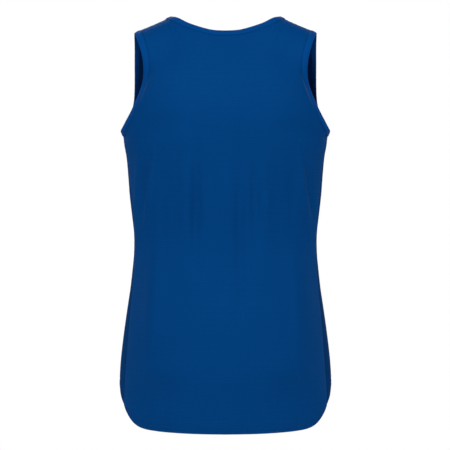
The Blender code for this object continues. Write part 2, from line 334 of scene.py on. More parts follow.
LEG_RANGE = (0.25, 0.75)      # of a loop's legs: half their relief, and its middle
PORE_EDGE = (0.7, 0.98)       # where a pore's rim starts and where its floor does
# the knit's colour follows its height: painted shade, darkest in the pores and in the hollows between the
# loops
LOOP_SHADES = (-0.7, 0.9)     # heights of the knit at which it is deepest and lightest
BAR_SPACING = {"X": 0.0046, "Y": 0.0100}  # of the faint bars across and up the cloth
BAR_ACROSS, BAR_SHARE = 0.4, 0.022        # strength of the first beside the second, and of both
YARN_NOISE = {"Scale": 420.0, "Detail": 2.0}
YARN_SHARE = 0.32
PATCH_NOISE = {"Scale": 9.0, "Detail": 3.0}
STREAK_SCALE = (240, 240, 5)  # streaks run up and down
STREAK_NOISE = {"Scale": 1.0, "Detail": 2.0}
BUMP_DEPTH = 0.0004
TONE_RANGE = (0.2, 0.8)       # of the noise, from unworn to worn
SHEEN_TINT = (0.06, 0.4, 1.0, 1)


@dataclass
class NodeGraph:
    """A node tree under construction."""

    tree: bpy.types.NodeTree

    def add(self, kind: str, inputs: dict | None = None, **settings) -> bpy.types.Node:
        """Adds a node.

        Args:
            kind: the node's type name.
            inputs: a value, or a socket to link, for each named or numbered input.
            settings: values of the node's own properties.

        Returns:
            The new node.
        """
        node = self.tree.nodes.new(kind)
        for name, value in settings.items():
            setattr(node, name, value)
        self.feed(node, inputs or {})
        return node

    def feed(self, node: bpy.types.Node, inputs: dict) -> None:
        """Sets each named or numbered input of a node to its value, or links its socket."""
        for name, value in inputs.items():
            if isinstance(value, Socket):
                self.tree.links.new(value, node.inputs[name])
            else:
                node.inputs[name].default_value = value

    def math(self, operation: str, *values) -> Socket:
        """Adds a Math node on sockets or numbers and gives its result."""
        return self.add("ShaderNodeMath", dict(enumerate(values)), operation=operation).outputs[0]

    def times(self, first, second) -> Socket:
        """Multiplies two sockets or numbers."""
        return self.math("MULTIPLY", first, second)

    def mix(self, factor, first, second) -> Socket:
        """Adds a colour mix of two sockets or colours and gives its result."""
        inputs = {0: factor, 6: first, 7: second}
        return self.add("ShaderNodeMix", inputs, data_type="RGBA").outputs[2]

    def ease(self, value, low: float, high: float) -> Socket:
        """Eases a value from 0 at low to 1 at high."""
        inputs = {"Value": value, "From Min": low, "From Max": high}
        node = self.add("ShaderNodeMapRange", inputs, interpolation_type="SMOOTHSTEP")
        return node.outputs["Result"]


def new_group(name: str, inputs: dict[str, str], outputs: dict[str, str]) -> NodeGraph:
    """Starts a node group.

    Args:
        name: the group's name.
        inputs: a socket type for each named input.
        outputs: a socket type for each named output.

    Returns:
        The group's tree, without any nodes.
    """
    tree = bpy.data.node_groups.new(name, "ShaderNodeTree")
    for label, kind in inputs.items():
        tree.interface.new_socket(label, in_out="INPUT", socket_type=kind)
    for label, kind in outputs.items():
        tree.interface.new_socket(label, in_out="OUTPUT", socket_type=kind)
    return NodeGraph(tree)


def new_material(name: str) -> tuple[Material, NodeGraph, bpy.types.Node]:
    """Starts a material, and gives its nodes and its shader with it."""
    material = bpy.data.materials.new(name)
    material.use_nodes = True
    graph = NodeGraph(material.node_tree)
    return material, graph, graph.tree.nodes["Principled BSDF"]


def knit_face_group() -> bpy.types.NodeTree:
    """Builds the relief of a knit's face: columns of V-shaped loops, with pores between them. Its Shade
    is painted shade, darker in the hollows between the loops and in the pores, with faint bars and grain
    added.
    """
    numbers = {name: "NodeSocketFloat" for name in ("Wale", "Course", "Pores")}
    graph = new_group(
        "knit_face",
        {"Place": "NodeSocketVector", **numbers},
        {"Height": "NodeSocketFloat", "Shade": "NodeSocketFloat"},
    )
    given = graph.add("NodeGroupInput").outputs
    place = graph.add("ShaderNodeSeparateXYZ", {0: given["Place"]}).outputs
    wales = graph.math("DIVIDE", place["X"], given["Wale"])
    courses = graph.math("DIVIDE", place["Y"], given["Course"])
    ridge = graph.math("ABSOLUTE", graph.math("SINE", graph.times(wales, math.pi)))
    slant = graph.math("ABSOLUTE", graph.math("SUBTRACT", graph.math("FRACT", wales), 0.5))
    leg_turn = graph.times(graph.math("ADD", courses, slant), 2 * math.pi)
    legs = graph.math("MULTIPLY_ADD", graph.math("SINE", leg_turn), *LEG_RANGE)
    loops = graph.times(ridge, legs)
    pore_rows = graph.times(courses, 0.5)
    odd = graph.math("MODULO", graph.math("FLOOR", pore_rows), 2.0)
    pore_columns = graph.times(graph.math("ADD", wales, odd), 0.5)
    turns = [graph.math("SINE", graph.times(at, math.pi)) for at in (pore_rows, pore_columns)]
    pore = graph.ease(graph.times(*(graph.math("ABSOLUTE", turn) for turn in turns)), *PORE_EDGE)
    height = graph.math("SUBTRACT", loops, graph.times(pore, given["Pores"]))
    across, up = (
        graph.math("SINE", graph.times(place[axis], 2 * math.pi / spacing))
        for axis, spacing in BAR_SPACING.items()
    )
    bars = graph.math("ADD", graph.times(across, BAR_ACROSS), up)
    yarn = graph.add("ShaderNodeTexNoise", {"Vector": given["Place"], **YARN_NOISE})
    grain = graph.times(graph.math("SUBTRACT", yarn.outputs[0], 0.5), YARN_SHARE)
    uneven = graph.math("ADD", graph.times(bars, BAR_SHARE), grain)
    # painted shade: the hollows between the loops and the pores are darker, then faint bars and grain are
    # added
    shade = graph.math("ADD", graph.ease(height, *LOOP_SHADES), uneven)
    graph.add("NodeGroupOutput", {"Height": height, "Shade": shade})
    return graph.tree


def cloth_tone_group() -> bpy.types.NodeTree:
    """Builds slow unevenness of a cloth's colour: broad patches and faint streaks down it."""
    graph = new_group(
        "cloth_tone",
        {"Place": "NodeSocketVector", "Streaks": "NodeSocketFloat"},
        {"Tone": "NodeSocketFloat"},
    )
    given = graph.add("NodeGroupInput").outputs
    patches = graph.add("ShaderNodeTexNoise", {"Vector": given["Place"], **PATCH_NOISE})
    long = graph.add("ShaderNodeMapping", {"Vector": given["Place"], "Scale": STREAK_SCALE})
    streak = graph.add("ShaderNodeTexNoise", {"Vector": long.outputs[0], **STREAK_NOISE})
    faint = graph.times(graph.math("SUBTRACT", streak.outputs[0], 0.5), given["Streaks"])
    graph.add("NodeGroupOutput", {"Tone": graph.math("ADD", patches.outputs[0], faint)})
    return graph.tree


@dataclass(frozen=True)
class KnitFinish:
    """A knitted cloth: its colours, the size of its loops and how it takes the light."""

    name: str
    # light is the colour on the loops; deep is the painted shade in the knit's hollows and pores, and the
    # dark end of its uneven tone
    light: tuple[float, float, float]
    deep: tuple[float, float, float]
    wale: float = 0.0011
    course: float = 0.0013
    pores: float = 0.0
    streaks: float = 0.5
    wear: float = 0.08
    relief: float = 0.35
    roughness: float = 0.62
    polish: float = 0.1           # how much less rough the most worn places are than the least
    sheen: float = 0.02
    sheen_roughness: float = 0.45
    gloss: float = 0.008

    def material(self, face: bpy.types.NodeTree, tone: bpy.types.NodeTree) -> Material:
        """Makes the finish's material.

        Args:
            face: the knit's relief group.
            tone: the group of its uneven colour.

        Returns:
            The material, for pieces that have a map of their cloth.
        """
        material, graph, shader = new_material(self.name)
        place = graph.add("ShaderNodeUVMap", uv_map=UV_MAP).outputs[0]
        sizes = {"Place": place, "Wale": self.wale, "Course": self.course, "Pores": self.pores}
        knit = graph.add("ShaderNodeGroup", sizes, node_tree=face).outputs
        where = graph.add("ShaderNodeTexCoord").outputs["Object"]
        spread = {"Place": where, "Streaks": self.streaks}
        patch = graph.add("ShaderNodeGroup", spread, node_tree=tone).outputs
        worn = graph.ease(patch["Tone"], *TONE_RANGE)
        wear = graph.times(worn, self.wear)
        # the base colour goes from deep, the painted shade of the hollows and pores, to light on the
        # loops, with random wear over it
        mixed = graph.math("MULTIPLY_ADD", knit["Shade"], 1 - self.wear, wear)
        bump = {"Strength": self.relief, "Distance": BUMP_DEPTH, "Height": knit["Height"]}
        graph.feed(shader, {
            "Base Color": graph.mix(mixed, (*self.deep, 1), (*self.light, 1)),
            "Roughness": graph.math("MULTIPLY_ADD", worn, -self.polish, self.roughness + self.polish / 2),
            "Normal": graph.add("ShaderNodeBump", bump).outputs[0],
        })
        shader.inputs["Specular IOR Level"].default_value = self.gloss
        shader.inputs["Sheen Weight"].default_value = self.sheen
        shader.inputs["Sheen Roughness"].default_value = self.sheen_roughness
        shader.inputs["Sheen Tint"].default_value = SHEEN_TINT
        return material


@dataclass(frozen=True)
class ThreadFinish:
    """Polyester sewing thread, dyed to match, with its twist, and painted shade in the grooves between
    its plies.
    """

    name: str
    light: tuple[float, float, float]
    deep: tuple[float, float, float]
    twist: float = 0.0005

    def material(self) -> Material:
        """Makes the thread's material."""
        material, graph, shader = new_material(self.name)
        where = graph.add("ShaderNodeTexCoord").outputs["Object"]
        waves = {"Vector": where, "Scale": 1 / self.twist, "Distortion": 1.5, "Detail": 1.0}
        plies = graph.add("ShaderNodeTexWave", waves, bands_direction="DIAGONAL").outputs["Fac"]
        bump = {"Strength": 0.5, "Distance": 0.0001, "Height": plies}
        graph.feed(shader, {
            # painted shade: the grooves between the plies take the deep colour
            "Base Color": graph.mix(plies, (*self.deep, 1), (*self.light, 1)),
            "Normal": graph.add("ShaderNodeBump", bump).outputs[0],
        })
        shader.inputs["Roughness"].default_value = 0.5
        shader.inputs["Specular IOR Level"].default_value = 0.1
        return material


@dataclass
class Finishes:
    """Every finish on the garment."""

    body: Material = field(init=False)
    binding: Material = field(init=False)
    allowance: Material = field(init=False)
    thread: Material = field(init=False)

    def __post_init__(self) -> None:
        """Builds the shared groups once and each material from them."""
        face, tone = knit_face_group(), cloth_tone_group()
        self.body = BODY_KNIT.material(face, tone)
        self.binding = BINDING_KNIT.material(face, tone)
        self.allowance = ALLOWANCE_KNIT.material(face, tone)
        self.thread = THREAD.material()


BODY_KNIT = KnitFinish(
    "royal_blue_mesh_knit",
    light=(0.0006, 0.051, 0.204),
    deep=(0.0003, 0.021, 0.088),
    pores=1.3,
)
BINDING_KNIT = KnitFinish(
    "royal_blue_binding_knit",
    light=(0.0006, 0.051, 0.217),
    deep=(0.0003, 0.029, 0.125),
    wale=0.0009,
    course=0.0008,
    streaks=0.0,
    sheen=0.01,
)
ALLOWANCE_KNIT = KnitFinish(
    "overlocked_edge_knit",
    light=(0.0006, 0.042, 0.168),
    deep=(0.0003, 0.016, 0.070),
    wale=0.0016,
    course=0.0011,
    relief=0.6,
)
THREAD = ThreadFinish(
    "royal_blue_thread",
    light=(0.0005, 0.032, 0.132),
    deep=(0.0002, 0.014, 0.062),
)


# ---- meshes


def link_object(name: str, data: bpy.types.ID) -> bpy.types.Object:
    """Makes an object of the data and links it into the scene."""
    made = bpy.data.objects.new(name, data)
    bpy.context.scene.collection.objects.link(made)
    return made


def link_mesh(
    mesh: Mesh, name: str, material: Material
) -> bpy.types.Object:
    """Makes a bmesh an object with one finish, and frees the bmesh."""
    data = bpy.data.meshes.new(name)
    mesh.to_mesh(data)
    mesh.free()
    data.materials.append(material)
    return link_object(name, data)


def finish_piece(
    mesh: Mesh, name: str, material: Material
) -> bpy.types.Object:
    """Makes a bmesh an object with a smooth face and one finish.

    Args:
        mesh: the piece's mesh, which this call frees.
        name: the piece's name.
        material: its finish.

    Returns:
        The object, riding with the garment.
    """
    piece = link_mesh(mesh, name, material)
    piece.data.shade_smooth()
    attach(piece, BODY)
    LOG.info("%s: %d faces", name, len(piece.data.polygons))
    return piece


def placed_grid(points: Array, places: Array) -> Mesh:
    """Makes a grid and sets its vertices at the given points.

    Args:
        points: rows and columns of points.
        places: for each of them, its place across and up the cloth.

    Returns:
        The grid, with its map, and a layer that numbers its vertices.
    """
    rows, columns = points.shape[:2]
    mesh = bmesh.new()
    bmesh.ops.create_grid(mesh, x_segments=columns - 1, y_segments=rows - 1, size=0.5)
    number = mesh.verts.layers.int.new("number")
    for vert in mesh.verts:
        row = round((vert.co.y + 0.5) * (rows - 1))
        column = round((vert.co.x + 0.5) * (columns - 1))
        vert[number] = row * columns + column
        vert.co = points[row, column]
    layer = mesh.loops.layers.uv.new(UV_MAP)
    flat = places.reshape(-1, 2)
    for face in mesh.faces:
        for loop in face.loops:
            loop[layer].uv = flat[loop.vert[number]]
    return mesh


def shell_between(outer: Array, inner: Array, places: Array) -> Mesh:
    """Makes a closed shell from its outer and inner faces.

    Args:
        outer: rows and columns of points of the outer face.
        inner: the same of the inner face.
        places: for each of them, its place across and up the cloth.

    Returns:
        The shell, its faces pointing out.
    """
    mesh = placed_grid(outer, places)
    drawn = bmesh.ops.extrude_face_region(mesh, geom=mesh.faces[:])
    number = mesh.verts.layers.int["number"]
    points = inner.reshape(-1, 3)
    for vert in drawn["geom"]:
        if isinstance(vert, bmesh.types.BMVert):
            vert.co = points[vert[number]]
    bmesh.ops.recalc_face_normals(mesh, faces=mesh.faces)
    return mesh


def swept_ring(sections: Array, run: Array, girth: Array) -> Mesh:
    """Joins closed sections round a closed path.

    Args:
        sections: a row of points for each section.
        run: how far along the path each section is, and the whole way round at the end.
        girth: how far round a section each of its points is, and the whole way at the end.

    Returns:
        The ring, its faces pointing out.
    """
    whole = closed(sections)
    whole = np.concatenate([whole, whole[:, :1]], axis=1)
    along, round_it = np.meshgrid(run, girth, indexing="ij")
    mesh = placed_grid(whole, np.stack([along, round_it], axis=-1))
    bmesh.ops.remove_doubles(mesh, verts=mesh.verts, dist=WELD / 10)
    bmesh.ops.recalc_face_normals(mesh, faces=mesh.faces)
    return mesh


# ---- the cloth


@dataclass(frozen=True)
class Fold:
    """A soft ridge, or with a rise below 0 a trough, from one place on a panel to another.

    Places are x and z. bow is how far the fold's middle stands to the side of the straight way,
    and skew, from -1 to 1, makes one of its flanks steeper than the other.
    """

    start: tuple[float, float]
    end: tuple[float, float]
    rise: float
    half_width: float
    bow: float = 0.0
    skew: float = 0.0

    def rise_at(self, x: Array, z: Array) -> Array:
        """Works out how far the fold lifts the cloth.

        Args:
            x: places across the panel.
            z: their heights.

        Returns:
            The lift at each place.
        """
        run_x, run_z = self.end[0] - self.start[0], self.end[1] - self.start[1]
        length = math.hypot(run_x, run_z)
        along = ((x - self.start[0]) * run_x + (z - self.start[1]) * run_z) / length**2
        aside = ((x - self.start[0]) * run_z - (z - self.start[1]) * run_x) / length
        share = np.clip(along, 0, 1)
        aside = aside - self.bow * 4 * share * (1 - share)
        width = self.half_width * (1 + self.skew * np.sign(aside))
        return self.rise * np.exp(-((aside / width) ** 2)) * np.sin(np.pi * share) ** FOLD_TAPER


@dataclass
class Cloth:
    """Both panels' outer faces as fine grids of points, sewn edge to edge."""

    row_step: float = 0.0044
    column_step: float = 0.0023
    edge_step: float = 0.0013     # of the rows and columns next to an edge
    easing_rounds: int = 5
    easing_reach: float = 0.022   # how far from an opening's edge its easing moves the cloth
    easing_step: float = 0.0005
    grids: dict[Side, Array] = field(init=False)

    def __post_init__(self) -> None:
        """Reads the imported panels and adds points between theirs."""
        packed = packed_grids()
        both = np.stack([packed[Side.BACK], packed[Side.FRONT]], axis=1)
        both = np.delete(both, THICKNESS_ROW, axis=0)
        row_steps = np.full(len(both) - 1, self.row_step)
        row_steps[[0, -1]] = self.edge_step
        fine = refine(both, row_steps)
        fine = np.moveaxis(fine, 2, 0)
        column_steps = np.full(len(fine) - 1, self.column_step)
        column_steps[[0, -1]] = self.edge_step
        fine = np.moveaxis(refine(fine, column_steps), 0, 2)
        self.grids = {Side.BACK: fine[:, 0], Side.FRONT: fine[:, 1]}
        back, front = both[:, 0], both[:, 1]
        sewn = np.linalg.norm(back - front, axis=-1) < SEAM_REACH
        self.underarm = self.row_of(back[np.flatnonzero(sewn[:, 0])[-2], 0])
        opened = np.flatnonzero(~sewn[-1])
        ends = back[-1, opened[0] - 1], back[-1, opened[-1] + 1]
        self.neck = (self.column_of(ends[0]), self.column_of(ends[1]))
        self.join()
        for rows, columns in self.edges():
            self.ease_edge(rows, columns)
        self.join()

    def row_of(self, point: Array) -> int:
        """Finds the row at which the back's right edge passes a point."""
        return int(np.argmin(np.linalg.norm(self.grids[Side.BACK][:, 0] - point, axis=-1)))

    def column_of(self, point: Array) -> int:
        """Finds the column at which the back's top edge passes a point."""
        return int(np.argmin(np.linalg.norm(self.grids[Side.BACK][-1] - point, axis=-1)))

    def join(self) -> None:
        """Brings both panels' sewn edges together."""
        back, front = self.grids[Side.BACK], self.grids[Side.FRONT]
        side = np.s_[:self.underarm + 1]
        shoulders = np.r_[:self.neck[0] + 1, self.neck[1]:back.shape[1]]
        for edge in ((side, 0), (side, -1), (-1, shoulders)):
            middle = (back[edge] + front[edge]) / 2
            back[edge] = middle
            front[edge] = middle

    def edges(self) -> tuple[tuple[Array, Array], ...]:
        """Lists the rows and columns of the neck's edge, then the left and right armholes'."""
        columns = np.arange(self.neck[0], self.neck[1] + 1)
        rows = np.arange(self.underarm, len(self.grids[Side.BACK]))
        return (
            (np.full(len(columns), -1), columns),
            (rows, np.full(len(rows), -1)),
            (rows, np.full(len(rows), 0)),
        )

    def round_edge(
        self, grids: dict[Side, Array], rows: Array, columns: Array
    ) -> Array:
        """Follows an opening's edge along the back and returns along the front.

        Args:
            grids: values at both panels' points.
            rows: the rows of the edge's points, both seams among them.
            columns: their columns.

        Returns:
            The values round the edge.
        """
        there = grids[Side.BACK][rows, columns]
        again = grids[Side.FRONT][rows[-2:0:-1], columns[-2:0:-1]]
        return np.concatenate([there, again])

    def ease_edge(self, rows: Array, columns: Array) -> None:
        """Rounds off the corners of an opening's edge, and the cloth beside it.

        Args:
            rows: the rows of the edge's points.
            columns: their columns.
        """
        points = self.round_edge(self.grids, rows, columns)
        moved = smoothed(points, self.easing_rounds) - points
        around = run_along(closed(points))
        at = np.arange(0, around[-1], self.easing_step)
        places, moves = (values_at(at, around, closed(values)) for values in (points, moved))
        tree = tree_of(places)
        low, high = points.min(axis=0) - self.easing_reach, points.max(axis=0) + self.easing_reach
        for grid in self.grids.values():
            for place in map(tuple, np.argwhere(((grid > low) & (grid < high)).all(axis=-1))):
                _, nearest, away = tree.find(grid[place])
                if away < self.easing_reach:
                    share = 1 - smooth_step(np.array(away / self.easing_reach))
                    grid[place] += moves[nearest] * share

    def onto(self, points: Array) -> tuple[Array, Array]:
        """Brings points that lie close to the cloth onto it.

        Args:
            points: the points.

        Returns:
            The places nearest to them on the cloth, and its normals there.
        """
        surface = np.concatenate([grid.reshape(-1, 3) for grid in self.grids.values()])
        normals = [outward_normals(grid, side).reshape(-1, 3) for side, grid in self.grids.items()]
        nearest = [int(np.argmin(((surface - point) ** 2).sum(axis=-1))) for point in points]
        out = np.concatenate(normals)[nearest]
        height = ((points - surface[nearest]) * out).sum(axis=-1, keepdims=True)
        return points - out * height, out

    def runs(self, side: Side) -> dict[str, Array]:
        """Measures a panel along its cloth.

        Args:
            side: which panel.

        Returns:
            For each point, its way up from the hem and down from the top, and in from its right
            and its left edge.
        """
        grid = self.grids[side]
        up = run_along(grid)
        across = run_along(np.swapaxes(grid, 0, 1)).T
        return {"up": up, "down": up[-1] - up, "right": across, "left": across[:, -1:] - across}


@dataclass(frozen=True)
class Sewing:
    """How far the cloth is drawn in along its sewing, and how it puckers there."""

    groove: float = 0.0006
    groove_width: float = 0.0016
    pucker: float = 0.00018
    pucker_reach: float = 0.0060
    hem_lines: tuple[float, float] = (0.0048, 0.0104)
    line_depth: float = 0.00050
    line_width: float = 0.0009
    edge_dip: float = 0.0009      # the cloth turns in where a binding is sewn to it
    dip_width: float = 0.0026

    def draw_in(self, run: dict[str, Array], underarm: int, phase: float) -> Array:
        """Works out how sewing moves a panel's cloth.

        Args:
            run: the panel's measures along its cloth.
            underarm: the row at which its side seams end.
            phase: what sets its puckers apart from the other panel's.

        Returns:
            How far out each point moves.
        """
        moved = np.zeros_like(run["up"])
        for edge, offset in PUCKER_PHASES.items():
            away = run[edge] / self.pucker_reach
            along = run["up"] if edge in ("right", "left") else run["right"]
            moved += self.pucker * away * np.exp(1 - away) * ripple(along, phase + offset)
        beside = np.minimum(run["right"], run["left"])
        seam = self.groove * np.exp(-((beside / self.groove_width) ** 2))
        seam[underarm + 1:] = 0
        bound = beside.copy()
        bound[:underarm + 1] = np.inf
        bound = np.minimum(bound, run["down"])
        moved -= seam + self.edge_dip * np.exp(-((bound / self.dip_width) ** 2))
        for line in self.hem_lines:
            moved -= self.line_depth * np.exp(-(((run["up"] - line) / self.line_width) ** 2))
        return moved


def flat_places(grid: Array) -> Array:
    """Lays a panel out flat, with its wales upright.

    Args:
        grid: the panel's points.

    Returns:
        For each point, its place across from the centre and up from the hem.
    """
    across = run_along(np.swapaxes(grid[..., :2], 0, 1)).T
    across = across - across[:, grid.shape[1] // 2, None]
    up = run_along(grid[..., 1:]) + grid[0, :, 2] - grid[0, :, 2].min()
    return np.stack([across, up], axis=-1)


@dataclass
class Panel:
    """One panel of the body: a thin shell with folds, puckers and a turned hem."""

    side: Side
    name: str
    node: str
    folds: tuple[Fold, ...]
    flat: tuple[float, float]
    area: float
    phase: float
    fold_fade: float = 0.014     # folds die out this near to an edge
    hem_turn: float = 0.0007     # how far the hem's folded edge is rounded
    neck_rise: float = 0.0003    # how far both shoulders stand up beside the neck points
    neck_reach: float = 0.016

    def shape(self, cloth: Cloth, sewing: Sewing) -> None:
        """Raises the panel's folds and draws in its sewing.

        Args:
            cloth: both panels' points, of which this panel's are moved.
            sewing: how the cloth is drawn in.
        """
        grid = cloth.grids[self.side]
        run = cloth.runs(self.side)
        edge = np.minimum(run["right"], run["left"])
        fade = smooth_step(edge / self.fold_fade) * smooth_step(run["down"] / self.fold_fade)
        lift = sum(fold.rise_at(grid[..., 0], grid[..., 2]) for fold in self.folds)
        moved = lift * fade + sewing.draw_in(run, cloth.underarm, self.phase)
        moved -= self.hem_turn * np.exp(-run["up"] / HEM_ROUND)
        for column in cloth.neck:
            away = np.linalg.norm(grid - grid[-1, column], axis=-1) / self.neck_reach
            moved += self.neck_rise * away * np.exp(1 - away)
        grid += outward_normals(grid, self.side) * moved[..., None]

    def build(self, cloth: Cloth, material: Material) -> bpy.types.Object:
        """Makes the panel's shell.

        Args:
            cloth: both panels' points, shaped and joined.
            material: the panel's finish.

        Returns:
            The panel's piece.
        """
        grid = cloth.grids[self.side]
        run = cloth.runs(self.side)
        single = smooth_step((run["up"] - HEM_DEPTH + HEM_BLEND) / (2 * HEM_BLEND))
        wall = HEM_WALL + (CLOTH_WALL - HEM_WALL) * single
        wall -= self.hem_turn * np.exp(-run["up"] / HEM_ROUND)
        inner = grid - outward_normals(grid, self.side) * wall[..., None]
        piece = finish_piece(shell_between(grid, inner, flat_places(grid)), self.name, material)
        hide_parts(self.node)
        return piece


@dataclass(frozen=True)
class Edge:
    """A cut edge that runs round an opening, as points on the cloth's outer face."""

    path: Array
    normals: Array
    away: Array

    @classmethod
    def of(cls, points: Array, normals: Array, outward: int) -> "Edge":
        """Eases an edge's directions.

        Args:
            points: the edge's points, in order round the opening.
            normals: the cloth's normals at them.
            outward: the sign that turns path direction and normal into the way off the cloth.

        Returns:
            The edge.
        """
        normals = unit(smoothed(normals, NORMAL_ROUNDS))
        along = np.roll(points, -1, axis=0) - np.roll(points, 1, axis=0)
        away = unit(smoothed(outward * unit(np.cross(along, normals)), AWAY_ROUNDS))
        return cls(points, normals, away)

    def run(self) -> Array:
        """Measures the way round the edge, with the whole way round at the end."""
        return run_along(closed(self.path))


def openings_of(cloth: Cloth) -> list[Edge]:
    """Follows the edges of the neck, then the left and right armholes, round both panels."""
    normals = {side: outward_normals(grid, side) for side, grid in cloth.grids.items()}
    follow = cloth.round_edge
    return [
        Edge.of(follow(cloth.grids, *edge), follow(normals, *edge), outward)
        for edge, outward in zip(cloth.edges(), (1, -1, 1))
    ]


@dataclass
class Binding:
    """A folded strip of knit sewn round an opening, with a line of stitches near its seam."""

    name: str
    node: str
    edge: Edge
    phase: float
    unevenness: float = 0.00010
    wave_fade: float = 0.03       # the waves die out this near to where the ring closes
    root_width: float = 0.004     # the strip's sewn edge, where they grow up from nothing
    stitch_line: float = -0.0034
    stitch_height: float = 0.00012
    profile: tuple[tuple[float, float], ...] = (  # away from the edge, and out from the wearer
        (-0.0023, -0.00045), (-0.0020, 0.00002), (-0.0013, 0.00040), (-0.0004, 0.00056),
        (0.0008, 0.00066), (0.0025, 0.00074), (0.0045, 0.00080), (0.0062, 0.00072),
        (0.0077, 0.00040), (0.0086, -0.00008), (0.0089, -0.00056), (0.0086, -0.00104),
        (0.0077, -0.00152), (0.0060, -0.00184), (0.0040, -0.00192), (0.0018, -0.00180),
        (0.0002, -0.00168), (-0.0012, -0.00160), (-0.0020, -0.00130), (-0.0023, -0.00090),
    )

    def waves(self) -> Array:
        """Finds how far the strip stands out or in, unevenly, round the edge."""
        run = self.edge.run()
        whole = run[-1]
        fade = smooth_step(run / self.wave_fade) * smooth_step((whole - run) / self.wave_fade)
        return (self.unevenness * ripple(run, self.phase) * fade)[:-1]

    def build(self, material: Material) -> bpy.types.Object:
        """Sweeps the strip round the edge.

        Args:
            material: its finish.

        Returns:
            The binding's piece.
        """
        edge = self.edge
        rows = []
        root = self.profile[0][0]
        for away, out in self.profile:
            share = smooth_step(np.array((away - root) / self.root_width))
            rise = out + Sewing.edge_dip + self.waves()[:, None] * share
            rows.append(edge.path + edge.away * away + edge.normals * rise)
        sections = np.stack(rows, axis=1)
        outline = np.array(self.profile + self.profile[:1])
        mesh = swept_ring(sections, edge.run(), run_along(outline))
        piece = finish_piece(mesh, self.name, material)
        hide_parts(self.node)
        return piece

    def line(self, cloth: Cloth) -> "Line":
        """Finds the line on the cloth along which the strip is topstitched.

        Args:
            cloth: both panels' points.

        Returns:
            The line, all round the opening.
        """
        edge = self.edge
        points, normals = cloth.onto(edge.path + edge.away * self.stitch_line)
        points = points + normals * self.stitch_height
        return Line(closed(points), closed(unit(smoothed(normals, STITCH_ROUNDS))))


@dataclass(frozen=True)
class Line:
    """A line of sewing on the garment's outside."""

    points: Array
    normals: Array

    def places(self, spacing: float) -> list[tuple[Vector, Vector, Vector]]:
        """Spaces stitches along the line.

        Args:
            spacing: about how far apart they are.

        Returns:
            Each stitch's middle, its direction and the way out of the cloth.
        """
        run = run_along(self.points)
        count = round(run[-1] / spacing)
        at = (np.arange(count) + 0.5) * run[-1] / count
        middles, ahead, out = (
            values_at(where, run, values)
            for where, values in (
                (at, self.points), (at + spacing / 4, self.points), (at, self.normals)
            )
        )
        return [
            (Vector(middle), (Vector(front) - Vector(middle)).normalized(), Vector(up).normalized())
            for middle, front, up in zip(middles, ahead, out)
        ]


@dataclass
class Stitching:
    """Single stitches of sewing thread in rows."""

    name: str
    lines: tuple[Line, ...]
    spacing: float = 0.0031
    length: float = 0.0025
    width: float = 0.00062
    height: float = 0.00048
    slant: float = 0.12
    slant_step: float = 1.7       # radians from one stitch's slant to the next's
    sunk: float = 0.00004

    def build(self, material: Material) -> bpy.types.Object:
        """Makes every stitch.

        Args:
            material: the thread's finish.

        Returns:
            One piece with all of the stitches.
        """
        mesh = bmesh.new()
        mesh.loops.layers.uv.new(UV_MAP)
        size = Matrix.Diagonal((self.length, self.width, self.height, 1))
        for line in self.lines:
            for number, (middle, along, out) in enumerate(line.places(self.spacing)):
                across = out.cross(along).normalized()
                turn = Matrix((along, across, along.cross(across))).transposed().to_4x4()
                sway = Euler((0, 0, self.slant * math.sin(number * self.slant_step))).to_matrix().to_4x4()
                place = Matrix.Translation(middle - out * self.sunk) @ turn @ sway @ size
                bmesh.ops.create_uvsphere(mesh, u_segments=6, v_segments=4, radius=0.5, matrix=place)
        return finish_piece(mesh, self.name, material)


@dataclass
class Allowance:
    """The overlocked edges of a seam, a narrow band on the inside of the back panel."""

    name: str
    rows: slice
    columns: slice
    width: float = 0.0072
    wall: float = 0.0011
    clear: float = 0.00012
    waviness: float = 0.0003
    wave_share: float = 0.7       # of the turns that sewing on the outside has
    phase: float = 1.0

    def build(self, cloth: Cloth, material: Material) -> bpy.types.Object:
        """Lays the band on the panel's inner face.

        Args:
            cloth: both panels' points.
            material: the band's finish.

        Returns:
            The band's piece.
        """
        grid = cloth.grids[Side.BACK]
        normals = outward_normals(grid, Side.BACK)
        points, out = grid[self.rows, self.columns], normals[self.rows, self.columns]
        run = run_along(points)
        wavy = self.waviness * ripple(run * self.wave_share, self.phase)
        face = points - out * (CLOTH_WALL + self.clear)
        inner = face - out * (self.wall + np.abs(wavy))[..., None]
        across = run_along(np.swapaxes(points, 0, 1)).T
        shell = shell_between(face, inner, np.stack([across, run], axis=-1))
        piece = finish_piece(shell, self.name, material)
        return piece


# ---- the garment


